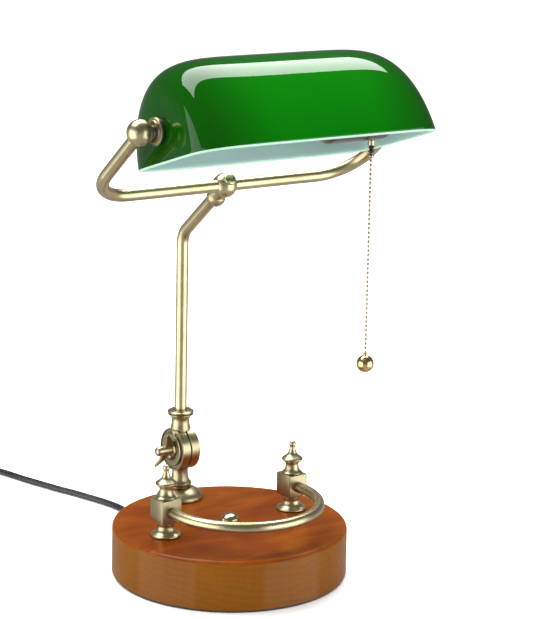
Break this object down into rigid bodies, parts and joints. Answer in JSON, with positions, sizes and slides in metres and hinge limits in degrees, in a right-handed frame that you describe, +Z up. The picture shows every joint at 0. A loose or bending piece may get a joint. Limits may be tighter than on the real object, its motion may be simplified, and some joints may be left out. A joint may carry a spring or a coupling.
{
  "type": "desk lamp",
  "caption": "Tilting banker's desk lamp: green glass shade on a forked brass stem, round wooden base with a curved brass pen rail and a bead pull chain.",
  "frame": {"origin": "centre of the base's underside, on the table", "axes": "+Z up, +X along the shade towards the lampholder, +Y to the back where the stem and the cord are; the shade reaches forward over -Y"},
  "size_m": [0.2802, 0.5314, 0.4272],
  "materials": {
    "wood": "glossy lacquer",
    "brass": "brushed antique",
    "turned_brass": "dark antique, turned",
    "steel": "zinc plated",
    "iron": "raw casting",
    "felt": "felt",
    "green_glass": "cased glass, green outside and opal white inside",
    "bakelite": "semi-gloss",
    "porcelain": "glazed ceramic",
    "rubber": "matt",
    "black_pvc": "satin"
  },
  "bodies": {
    "base": {"felt_pad": "felt", "bottom_cover": "steel", "base_wood": "wood", "weight_disc": "iron", "tie_bolt": "steel", "tie_nut": "steel", "centre_cap_nut": "brass", "left_post_foot": "turned_brass", "left_post_block": "turned_brass", "left_finial": "turned_brass", "right_post_foot": "turned_brass", "right_post_block": "turned_brass", "right_finial": "turned_brass", "post_studs": "steel", "post_nuts": "steel", "guard_rail": "brass", "stem_flange": "turned_brass", "stem_nipple": "steel", "stem_nut": "steel", "lower_knuckle": "turned_brass", "knuckle_washer": "turned_brass", "knuckle_bolt": "turned_brass", "base_lead": "black_pvc", "cord_gland": "rubber", "power_cord": "black_pvc", "cord_coil": "black_pvc", "cord_tie": "black_pvc", "cord_tail": "black_pvc", "plug_body": "black_pvc", "plug_pins": "steel"},
    "wing_nut": {"wing_nut": "turned_brass"},
    "stem": {"upper_knuckle": "turned_brass", "stem_tube": "brass", "tee_ball": "brass", "tee_plug": "brass", "tee_lock_screw": "turned_brass", "left_arm": "brass", "right_arm": "brass", "left_ball": "brass", "right_ball": "brass", "left_seat_ring": "turned_brass", "right_seat_ring": "turned_brass", "left_nipple": "steel", "right_nipple": "steel", "shade_nuts": "turned_brass", "stem_lead": "black_pvc", "holder_cap": "bakelite", "holder_shell": "bakelite", "switch_block": "porcelain", "holder_core": "porcelain", "screw_shell": "brass", "centre_contact": "brass", "switch_nozzle": "turned_brass"},
    "shade": {"shade_glass": "green_glass", "shade_bushes": "rubber", "shade_washers": "rubber"},
    "pull_rod": {"pull_rod": "bakelite"},
    "chain_link": {"chain_bell": "brass"},
    "chain": {"bead_chain": "brass", "pull_ball": "brass"}
  },
  "joints": [
    {"name": "stem_tilt", "type": "hinge", "parent": "base", "child": "stem", "pos_m": [0, 0.074, 0.0845], "axis": [1, 0, 0], "range_deg": [-25, 40]},
    {"name": "wing_nut_turn", "type": "hinge", "parent": "base", "child": "wing_nut", "pos_m": [0, 0.074, 0.0845], "axis": [-1, 0, 0], "range_deg": [0, 180]},
    {"name": "shade_tilt", "type": "hinge", "parent": "stem", "child": "shade", "pos_m": [0, -0.05872, 0.37591], "axis": [1, 0, 0], "range_deg": [-20, 35]},
    {"name": "switch_pull", "type": "slide", "parent": "stem", "child": "pull_rod", "axis": [0, 0, -1], "range_m": [0, 0.006], "stiffness_N_per_m": 400, "springref_m": -0.004},
    {"name": "chain_swing_front", "type": "hinge", "parent": "pull_rod", "child": "chain_link", "pos_m": [0.0883, -0.05872, 0.34491], "axis": [1, 0, 0], "range_deg": [-30, 30]},
    {"name": "chain_swing_side", "type": "hinge", "parent": "chain_link", "child": "chain", "pos_m": [0.0883, -0.05872, 0.34091], "axis": [0, 1, 0], "range_deg": [-30, 30]}
  ]
}
